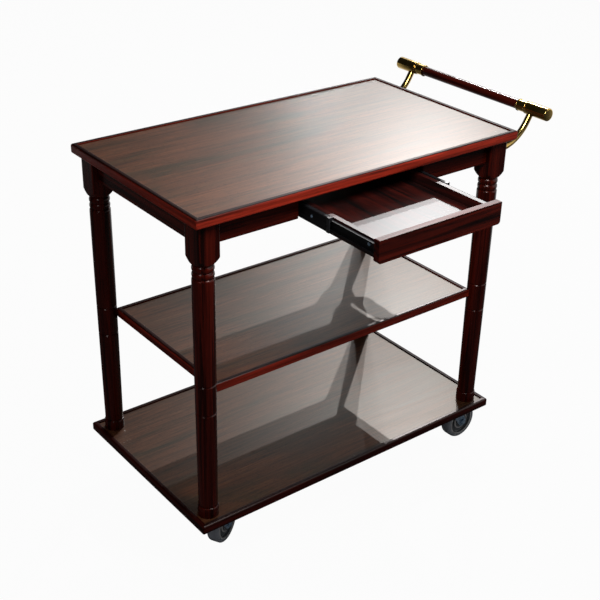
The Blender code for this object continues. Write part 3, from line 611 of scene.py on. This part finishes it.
BOARD_WOOD = along_both("mahogany", **MAIN_LOOK)
LEG_WOOD = mahogany("Z", "mahogany", **MAIN_LOOK)
EDGE_WOOD_PAINTED_LIGHT = {side: painted_light_edge_wood(side) for side in EDGE_AXES}
# Painted shade: the bottom shelf's mouldings get a darker copy of the wood
LOW_EDGE_WOOD_PAINTED_SHADE = along_both(
    "low_edge_mahogany_painted_shade", paleness=0.7, vein_depth=0.50, roughness=0.32, reflectance=0.16
)
LIP_WOOD_PAINTED_SHADE = along_both("lip_mahogany_painted_shade", **LIP_PAINTED_SHADE_LOOK, roughness=0.42, reflectance=0.10)
LIP_SHEEN_WOOD_PAINTED_SHADE = mahogany("X", "lip_sheen_mahogany_painted_shade", **LIP_PAINTED_SHADE_LOOK, roughness=0.36, reflectance=0.50)
FRONT_WOOD = mahogany(
    "X", "front_mahogany", paleness=1.1, vein_depth=0.80, roughness=0.38, reflectance=0.16
)
DRAWER_WOOD = {axis: drawer_wood(axis) for axis in "XY"}
LAMINATE = laminate()
BRASS = brass()
BLACK_STEEL = black_steel()
ZINC = zinc_steel()
TYRE = rubber(
    "tyre_rubber", dark=(0.250, 0.270, 0.310), pale=(0.340, 0.360, 0.400), roughness=0.40
)
RIM = rubber(
    "rim_plastic", dark=(0.110, 0.118, 0.130), pale=(0.160, 0.168, 0.182), roughness=0.32
)
# Painted highlight: the rings' pale colour stands in for light caught by the rim's moulded ridges
RING = rubber(
    "ring_painted_highlight", dark=(0.560, 0.550, 0.550), pale=(0.680, 0.670, 0.665), roughness=0.30
)
BUMPER = rubber(
    "bumper_plastic", dark=(0.010, 0.010, 0.012), pale=(0.026, 0.026, 0.030), roughness=0.22
)


# Mesh helpers


def new_piece(name, shape, material, body, replaced=()):
    """Turns a bmesh into a piece that rides on a body and may stand for CAD nodes."""
    bmesh.ops.remove_doubles(shape, verts=shape.verts, dist=WELD)
    bmesh.ops.dissolve_degenerate(shape, edges=shape.edges, dist=WELD)
    bmesh.ops.recalc_face_normals(shape, faces=shape.faces)
    mesh = bpy.data.meshes.new(name)
    shape.to_mesh(mesh)
    shape.free()
    mesh.shade_smooth()
    mesh.set_sharp_from_angle(angle=SMOOTH_ANGLE)
    mesh.materials.append(material)
    piece = add_to_scene(name, mesh)
    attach(piece, body)
    if replaced:
        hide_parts(*replaced)
    return piece


def add_ring(shape, points):
    return [shape.verts.new(point) for point in points]


def join_rings(shape, first, second):
    """Faces between two closed rings, either of which may be a single point."""
    count = max(len(first), len(second))
    for index in range(count):
        following = (index + 1) % count
        corners = [first[index % len(first)], second[index % len(second)]]
        corners += [second[following % len(second)], first[following % len(first)]]
        unique = list(dict.fromkeys(corners))
        if len(unique) > 2:
            shape.faces.new(unique)


def add_lathe(shape, profile, matrix, sides=ROUND_SIDES, closed=False):
    """Turns (radius, height) points about the matrix's Z axis."""
    rings = []
    for radius, height in profile:
        if radius < TINY:
            rings.append(add_ring(shape, [matrix @ Vector((0, 0, height))]))
            continue
        turns = [2 * math.pi * side / sides for side in range(sides)]
        points = [(radius * math.cos(turn), radius * math.sin(turn), height) for turn in turns]
        rings.append(add_ring(shape, [matrix @ Vector(point) for point in points]))
    pairs = list(zip(rings, rings[1:]))
    if closed:
        pairs.append((rings[-1], rings[0]))
    for first, second in pairs:
        join_rings(shape, first, second)


def add_prism(shape, outline, low, high, matrix):
    """Extrudes an outline of (x, y) points from one height to another."""
    lower = add_ring(shape, [matrix @ Vector((x, y, low)) for x, y in outline])
    upper = add_ring(shape, [matrix @ Vector((x, y, high)) for x, y in outline])
    join_rings(shape, lower, upper)
    shape.faces.new(lower)
    shape.faces.new(upper)


def arc(centre, radius, start, end, steps=ARC_STEPS):
    """Points on an arc, with angles in degrees."""
    turns = [math.radians(start + (end - start) * step / steps) for step in range(steps + 1)]
    x, y = centre
    return [(x + radius * math.cos(turn), y + radius * math.sin(turn)) for turn in turns]


def axis_matrix(place, axis):
    """A frame at a place whose Z points along an axis."""
    turn = Vector((0, 0, 1)).rotation_difference(Vector(axis))
    return Matrix.Translation(place) @ turn.to_matrix().to_4x4()


def add_button(shape, place, axis, radius, height):
    """A low domed head, such as a screw's or a rivet's, that stands on a face."""
    dome = [(radius * math.cos(turn), height * math.sin(turn)) for turn in BUTTON_TURNS]
    add_lathe(shape, [(0, 0), *dome], axis_matrix(place, axis), SCREW_SIDES)


def finish_node(name, material):
    """Gives a CAD node its finish."""
    mesh = frame["nodes"][name].data
    mesh.materials.clear()
    mesh.materials.append(material)


def box_of(*nodes):
    """The lowest and highest corners of several nodes together."""
    boxes = [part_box(node) for node in nodes]
    low = Vector([min(box[0][axis] for box in boxes) for axis in range(3)])
    high = Vector([max(box[1][axis] for box in boxes) for axis in range(3)])
    return low, high


# Boards and their mitred edge mouldings


def edge_profile(height):
    """A moulding's section as (depth in from its outer face, height) points, from its inner foot."""
    foot, crest, lip = EDGE_FOOT_RADIUS, EDGE_TOP_RADIUS, EDGE_LIP_RADIUS
    points = [(EDGE_WIDTH, 0)]
    points += arc((foot, foot), foot, 270, 180)
    points += arc((crest, height - crest), crest, 180, 90)
    points += arc((EDGE_WIDTH - lip, height - lip), lip, 90, 0)
    return points


def edge_path(low, high, turn, depth):
    """Points along one side of a board, at a depth in from its face, from mitre to mitre."""
    radius = max(EDGE_CORNER - depth, 0)
    inset = max(EDGE_CORNER, depth)
    outward = Vector((math.cos(turn), math.sin(turn)))
    sideways = Vector((-outward.y, outward.x))
    centre = (low.xy + high.xy) / 2
    half = (high.xy - low.xy) / 2 - Vector((inset, inset))
    points = []
    for end, start_turn in ((-1, -math.pi / 4), (1, 0)):
        corner = outward + end * sideways
        pivot = centre + Vector((corner.x * half.x, corner.y * half.y))
        for step in range(CORNER_STEPS + 1):
            angle = turn + start_turn + math.pi / 4 * step / CORNER_STEPS
            points.append(pivot + radius * Vector((math.cos(angle), math.sin(angle))))
    return points


def paint_lip_shade(mesh, material):
    """Paints shade on the faces that look up: they get the lip's darker copy of the wood."""
    mesh.materials.append(material)
    for face in mesh.polygons:
        if face.normal.z > LIP_FACING:
            face.material_index = 1


def make_edges(board):
    """A board's four mouldings, mitred at its corners."""
    names = [f"{board}_edge_{side}" for side in EDGE_TURNS]
    low, high = box_of(*names)
    for side, turn in EDGE_TURNS.items():
        shape = bmesh.new()
        rows = []
        for depth, height in edge_profile(high.z - low.z):
            path = edge_path(low, high, turn, depth)
            rows.append(add_ring(shape, [(point.x, point.y, low.z + height) for point in path]))
        sections = list(zip(*rows))
        for first, second in zip(sections, sections[1:]):
            join_rings(shape, first, second)
        shape.faces.new(sections[0])
        shape.faces.new(sections[-1])
        axis = EDGE_AXES[side]
        # Painted light and shade: a darker copy of the wood for the bottom shelf, a paler or darker
        # copy per side for the others
        wood = LOW_EDGE_WOOD_PAINTED_SHADE[axis] if board == "bottom_shelf" else EDGE_WOOD_PAINTED_LIGHT[side]
        name = f"{board}_edge_{side}"
        piece = new_piece(f"{name}_moulding", shape, wood, "cart_frame", [name])
        # Painted shade on the lips' upward faces; the lower shelves' front lips also get a shinier
        # lacquer
        shiny = side == "front" and board != "top"
        paint_lip_shade(piece.data, LIP_SHEEN_WOOD_PAINTED_SHADE if shiny else LIP_WOOD_PAINTED_SHADE[axis])


def make_boards():
    for board in BOARDS:
        finish_node(f"{board}_panel", LAMINATE)
        make_edges(board)


# Turned legs


def square_radius(angle, half):
    """Distance from the axis to the block's outline, a square with rounded arrises."""
    folded = abs((angle + math.pi / 4) % (math.pi / 2) - math.pi / 4)
    inner = half - LEG_ARRIS
    if half * math.tan(folded) <= inner:
        return half / math.cos(folded)
    reach = inner * (math.cos(folded) + math.sin(folded))
    return reach + math.sqrt(reach**2 - 2 * inner**2 + LEG_ARRIS**2)


def leg_angles(half):
    """Directions round the leg, closer together at the arrises. One eighth is mirrored and turned."""
    eighth, quarter = 45, 90
    arris_start = math.degrees(math.atan((half - LEG_ARRIS) / half))
    arris_half = [
        arris_start + (eighth - arris_start) * step / CORNER_STEPS for step in range(CORNER_STEPS)
    ]
    octant = list(LEG_FLAT_ANGLES) + arris_half
    quadrant = octant + [eighth] + [quarter - angle for angle in reversed(octant[1:])]
    return [math.radians(quarter * turn + angle) for turn in range(4) for angle in quadrant]


def column_radius(height, low, high):
    """The column's radius, which swells from its foot to its top."""
    share = min(max((height - low) / (high - low), 0), 1)
    growth = COLUMN_TOP_RADIUS - COLUMN_FOOT_RADIUS
    return COLUMN_FOOT_RADIUS + growth * math.sin(share * math.pi / 2)


def leg_profile(foot, top, corner_radius):
    """(turned radius, height) of a leg from its head down to its foot."""
    block_foot = top - LEG_BLOCK_HEIGHT
    points = [(corner_radius, top), (corner_radius, block_foot)]
    for step in range(1, POMMEL_STEPS + 1):
        share = step / POMMEL_STEPS
        radius = corner_radius - (corner_radius - NECK_RADIUS) * share**POMMEL_CURVE
        points.append((radius, block_foot - POMMEL_HEIGHT * share))
    neck = block_foot - POMMEL_HEIGHT
    for bead in range(BEAD_COUNT):
        for step in range(1, BEAD_STEPS + 1):
            swell = math.sin(math.pi * step / BEAD_STEPS) ** BEAD_FULLNESS
            radius = NECK_RADIUS + (BEAD_RADIUS - NECK_RADIUS) * swell
            points.append((radius, neck - BEAD_HEIGHT * (bead + step / BEAD_STEPS)))
    column_top = neck - BEAD_COUNT * BEAD_HEIGHT
    shoulder = COLUMN_TOP_RADIUS - NECK_RADIUS
    for along_share, out_share in arc((0, 0), 1, 180, 90):
        height = column_top - COLUMN_ROUND * (1 + along_share)
        points.append((NECK_RADIUS + shoulder * out_share, height))
    points += column_points(foot, column_top)
    foot_top = foot + FOOT_HEIGHT
    half_round = FOOT_ROUND / 2
    points += arc((COLUMN_FOOT_RADIUS - half_round, foot_top + FOOT_ROUND), half_round, 0, -90)
    points += [(FOOT_GROOVE_RADIUS, foot_top + half_round), (FOOT_GROOVE_RADIUS, foot_top)]
    points += arc((FOOT_RADIUS - FOOT_ROUND, foot_top - FOOT_ROUND), FOOT_ROUND, 90, 0)
    points += [(FOOT_RADIUS, foot), (0, foot)]
    return points


def column_points(foot, column_top):
    """The plain column with its two scribed lines, top to bottom."""
    low = foot + FOOT_HEIGHT + FOOT_ROUND
    shelf_low, shelf_high = box_of("mid_shelf_edge_front")
    scribes = (shelf_high.z + SCRIBE_ABOVE_SHELF, shelf_low.z - SCRIBE_BELOW_SHELF)
    start = column_top - COLUMN_ROUND
    steps = range(1, COLUMN_STEPS + 1)
    heights = [(start + (low - start) * step / COLUMN_STEPS, 0) for step in steps]
    half = SCRIBE_WIDTH / 2
    heights = [spot for spot in heights if all(abs(spot[0] - scribe) > half for scribe in scribes)]
    for scribe in scribes:
        for step in range(-BEAD_STEPS // 2, BEAD_STEPS // 2 + 1):
            share = 2 * step / BEAD_STEPS
            heights.append((scribe + half * share, SCRIBE_DEPTH * (1 - abs(share))))
    heights.sort(reverse=True)
    return [(column_radius(height, low, column_top) - cut, height) for height, cut in heights]


def make_legs():
    for corner in CORNERS:
        node = f"leg_{corner}"
        low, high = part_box(node)
        half = (high.x - low.x) / 2
        centre = (low + high) / 2
        angles = leg_angles(half)
        shape = bmesh.new()
        rings = []
        for turned, height in leg_profile(low.z, high.z, half * math.sqrt(2)):
            if turned < TINY:
                rings.append(add_ring(shape, [(centre.x, centre.y, height)]))
                continue
            spokes = [(min(turned, square_radius(angle, half)), angle) for angle in angles]
            spots = [(radius * math.cos(angle), radius * math.sin(angle)) for radius, angle in spokes]
            rings.append(add_ring(shape, [(centre.x + x, centre.y + y, height) for x, y in spots]))
        for first, second in zip(rings, rings[1:]):
            join_rings(shape, first, second)
        shape.faces.new(rings[0])
        new_piece(f"turned_leg_{corner}", shape, LEG_WOOD, "cart_frame", [node])


# Aprons, drawer and slides


def make_aprons():
    for side in ("back", "front_left", "front_right"):
        finish_node(f"apron_{side}", BOARD_WOOD["X"])
    for side in ("left", "right"):
        finish_node(f"apron_{side}", BOARD_WOOD["Y"])
        finish_node(f"drawer_bearer_{side}", BOARD_WOOD["Y"])


def make_drawer():
    finish_node("drawer_front", FRONT_WOOD)
    finish_node("drawer_back", DRAWER_WOOD["X"])
    finish_node("drawer_bottom", DRAWER_WOOD["Y"])
    for side in ("left", "right"):
        finish_node(f"drawer_side_{side}", DRAWER_WOOD["Y"])


def add_heads(shape, member, face_x, sign, setbacks, radius, height):
    """A row of domed heads along a slide member's web, set back from its front end."""
    low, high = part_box(member)
    for setback in setbacks:
        place = (face_x, low.y + setback, (low.z + high.z) / 2)
        add_button(shape, place, (sign, 0, 0), radius, height)


def make_slide_heads(side, sign):
    """Screws into the drawer's side, and rivets in the middle member."""
    drawer_member = f"slide_drawer_member_{side}"
    low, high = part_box(drawer_member)
    web = (high.x if sign < 0 else low.x) + sign * SLIDE_WEB
    screws = bmesh.new()
    add_heads(
        screws, drawer_member, web, sign, SLIDE_SCREW_SETBACKS, SLIDE_SCREW_RADIUS, SLIDE_SCREW_HEIGHT
    )
    new_piece(f"slide_screws_{side}", screws, ZINC, "drawer")
    middle_member = f"slide_middle_member_{side}"
    low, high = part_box(middle_member)
    web = low.x if sign < 0 else high.x
    rivets = bmesh.new()
    add_heads(
        rivets, middle_member, web, sign, SLIDE_RIVET_SETBACKS, SLIDE_RIVET_RADIUS, SLIDE_RIVET_HEIGHT
    )
    new_piece(f"slide_rivets_{side}", rivets, ZINC, "slide_middle")


def make_bumper(side, sign):
    """A plastic end cap on the middle member's front end, open where the drawer member runs."""
    low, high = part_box(f"slide_middle_member_{side}")
    inner_low, inner_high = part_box(f"slide_drawer_member_{side}")
    inside, outside = (high.x, low.x) if sign < 0 else (low.x, high.x)
    tip = inner_low.x if sign < 0 else inner_high.x
    outside += sign * BUMPER_PROUD
    tip += sign * BUMPER_GAP
    foot, crest = low.z - BUMPER_RISE, high.z + BUMPER_RISE
    notch_foot, notch_crest = inner_low.z - BUMPER_GAP, inner_high.z + BUMPER_GAP
    outline = [(inside, foot), (outside, foot), (outside, crest), (inside, crest)]
    outline += [(inside, notch_crest), (tip, notch_crest), (tip, notch_foot), (inside, notch_foot)]
    upright = Matrix(((1, 0, 0, 0), (0, 0, 1, 0), (0, 1, 0, 0), (0, 0, 0, 1)))
    shape = bmesh.new()
    add_prism(shape, outline, low.y - BUMPER_REACH, low.y + BUMPER_LENGTH, upright)
    new_piece(f"slide_bumper_{side}", shape, BUMPER, "slide_middle")


def make_slides():
    for side, sign in (("left", -1), ("right", 1)):
        for member in ("cabinet", "middle", "drawer"):
            finish_node(f"slide_{member}_member_{side}", BLACK_STEEL)
        make_slide_heads(side, sign)
        make_bumper(side, sign)


# Push bar


def sleeve_profile(length):
    """A brass sleeve from its closed outer end, at height 0: barrel, bead, collar and end ring."""
    barrel, collar, bore = SLEEVE_BARREL_RADIUS, SLEEVE_COLLAR_RADIUS, GRIP_RADIUS + FIT
    bead, ring = SLEEVE_BEAD_WIDTH / 2, SLEEVE_RING_WIDTH / 2
    shoulder = SLEEVE_ROUND / 2
    groove = SLEEVE_BARREL_LENGTH + SLEEVE_GROOVE_WIDTH
    points = [(0, 0)]
    points += arc((barrel - SLEEVE_ROUND, -SLEEVE_ROUND), SLEEVE_ROUND, 90, 0)
    points += arc((barrel - shoulder, shoulder - SLEEVE_BARREL_LENGTH), shoulder, 0, -90)
    points += [(collar, -SLEEVE_BARREL_LENGTH), (collar, -groove)]
    points += arc((collar, -groove - bead), bead, 90, -90)
    points += [(collar, 2 * ring - length)]
    points += arc((collar, ring - length), ring, 90, -90)
    points += [(bore, -length)]
    return points


def make_grip():
    """The wooden rod. Gives its middle, which is on the push bar's axis."""
    low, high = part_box("handle_grip")
    centre = (low + high) / 2
    half = (high.y - low.y) / 2
    shape = bmesh.new()
    profile = [(0, -half), (GRIP_RADIUS, -half), (GRIP_RADIUS, half), (0, half)]
    add_lathe(shape, profile, axis_matrix(centre, (0, 1, 0)))
    new_piece("push_bar_grip", shape, BOARD_WOOD["Y"], "cart_frame", ["handle_grip"])
    return centre


def make_sleeve(end, sign, axis_place):
    node = f"handle_sleeve_{end}"
    low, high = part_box(node)
    outer = high.y if sign > 0 else low.y
    shape = bmesh.new()
    place = (axis_place.x, outer, axis_place.z)
    add_lathe(shape, sleeve_profile(high.y - low.y), axis_matrix(place, (0, sign, 0)))
    new_piece(f"push_bar_sleeve_{end}", shape, BRASS, "cart_frame", [node])


def post_route(start, end):
    """A post's route in XZ: a short run out of the leg, an arc, then straight to the bar."""
    slope = math.tan(POST_ANGLE)
    reach = end.x - start.x - POST_RUN
    bend = math.sin(POST_ANGLE) * slope - 1 + math.cos(POST_ANGLE)
    radius = (reach * slope - (end.z - start.z)) / bend
    points = [(start.x, start.z)]
    pivot = (start.x + POST_RUN, start.z + radius)
    points += arc(pivot, radius, -90, math.degrees(POST_ANGLE) - 90, POST_STEPS)
    points.append((end.x, end.z))
    return [Vector((x, start.y, z)) for x, z in points]


def add_tube(shape, route, radius, sides):
    """A round bar along a route that stays in one XZ plane."""
    sideways = Vector((0, 1, 0))
    rings = []
    for index, point in enumerate(route):
        before = route[max(index - 1, 0)]
        after = route[min(index + 1, len(route) - 1)]
        upward = (after - before).normalized().cross(sideways)
        turns = [2 * math.pi * side / sides for side in range(sides)]
        spokes = [math.cos(turn) * sideways + math.sin(turn) * upward for turn in turns]
        rings.append(add_ring(shape, [point + radius * spoke for spoke in spokes]))
    for first, second in zip(rings, rings[1:]):
        join_rings(shape, first, second)
    shape.faces.new(rings[0])
    shape.faces.new(rings[-1])


def make_handle():
    axis_place = make_grip()
    for end, sign in (("front", -1), ("back", 1)):
        make_sleeve(end, sign, axis_place)
        node = f"handle_post_{end}"
        low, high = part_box(node)
        middle_y = (low.y + high.y) / 2
        start = Vector((low.x, middle_y, low.z + POST_RADIUS))
        finish = Vector((axis_place.x, middle_y, axis_place.z))
        shape = bmesh.new()
        add_tube(shape, post_route(start, finish), POST_RADIUS, ROUND_SIDES // 2)
        new_piece(f"push_bar_post_{end}", shape, BRASS, "cart_frame", [node])


# Casters


def both_sides(upper):
    """A wheel section from its upper half."""
    return upper + [(radius, -height) for radius, height in reversed(upper)]


def tyre_profile():
    """Tyre section as (radius, height) points, with slightly hollow sides."""
    wall = TYRE_HALF - TYRE_HOLLOW
    upper = [(RIM_RADIUS, wall), (WHEEL_RADIUS - TYRE_ROUND - TYRE_HOLLOW, wall)]
    upper += arc((WHEEL_RADIUS - TYRE_ROUND, TYRE_HALF - TYRE_ROUND), TYRE_ROUND, 90, 0)
    return both_sides(upper)


def rim_profile():
    """Rim section: hub, dished web and the seat of the tyre."""
    bore, seat = AXLE_RADIUS + FIT, TYRE_HALF - RIM_SINK
    inner, floor = RIM_RADIUS - RIM_LIP, WEB_HALF + WEB_ROUND
    upper = [(bore, HUB_HALF), (HUB_RADIUS - HUB_ROUND, HUB_HALF)]
    upper += [(HUB_RADIUS, HUB_HALF - HUB_ROUND)]
    upper += arc((HUB_RADIUS + WEB_ROUND, floor), WEB_ROUND, 180, 270)
    upper += arc((inner - WEB_ROUND, floor), WEB_ROUND, 270, 360)
    upper += [(inner, seat), (RIM_RADIUS, seat)]
    return both_sides(upper)


def make_wheel(corner, joint):
    """A tyre, its rim and the pale rings on the rim's faces, whose paleness is a painted highlight on
    the ridges, about the wheel's own joint.
    """
    node = f"caster_wheel_{corner}"
    place = axis_matrix(joint["pos_m"], joint["axis"])
    tyre = bmesh.new()
    add_lathe(tyre, tyre_profile(), place, closed=True)
    new_piece(f"caster_tyre_{corner}", tyre, TYRE, f"wheel_{corner}", [node])
    rim = bmesh.new()
    add_lathe(rim, rim_profile(), place, closed=True)
    new_piece(f"caster_rim_{corner}", rim, RIM, f"wheel_{corner}")
    rings = bmesh.new()
    for radius, height in (OUTER_RING, INNER_RING):
        for sign in (-1, 1):
            section = arc((radius, sign * height), RING_HALF, 0, 360)[1:]
            add_lathe(rings, section, place, closed=True)
    new_piece(f"caster_rings_{corner}", rings, RING, f"wheel_{corner}")


def make_casters():
    joints = {joint["name"]: joint for joint in frame["joints"]}
    for corner in CORNERS:
        make_wheel(corner, joints[f"roll_{corner}"])
        for part in ("plate", "fork", "axle"):
            finish_node(f"caster_{part}_{corner}", ZINC)


make_camera()
make_lamps()
make_world()
make_floor()
make_boards()
make_legs()
make_aprons()
make_drawer()
make_slides()
make_handle()
make_casters()
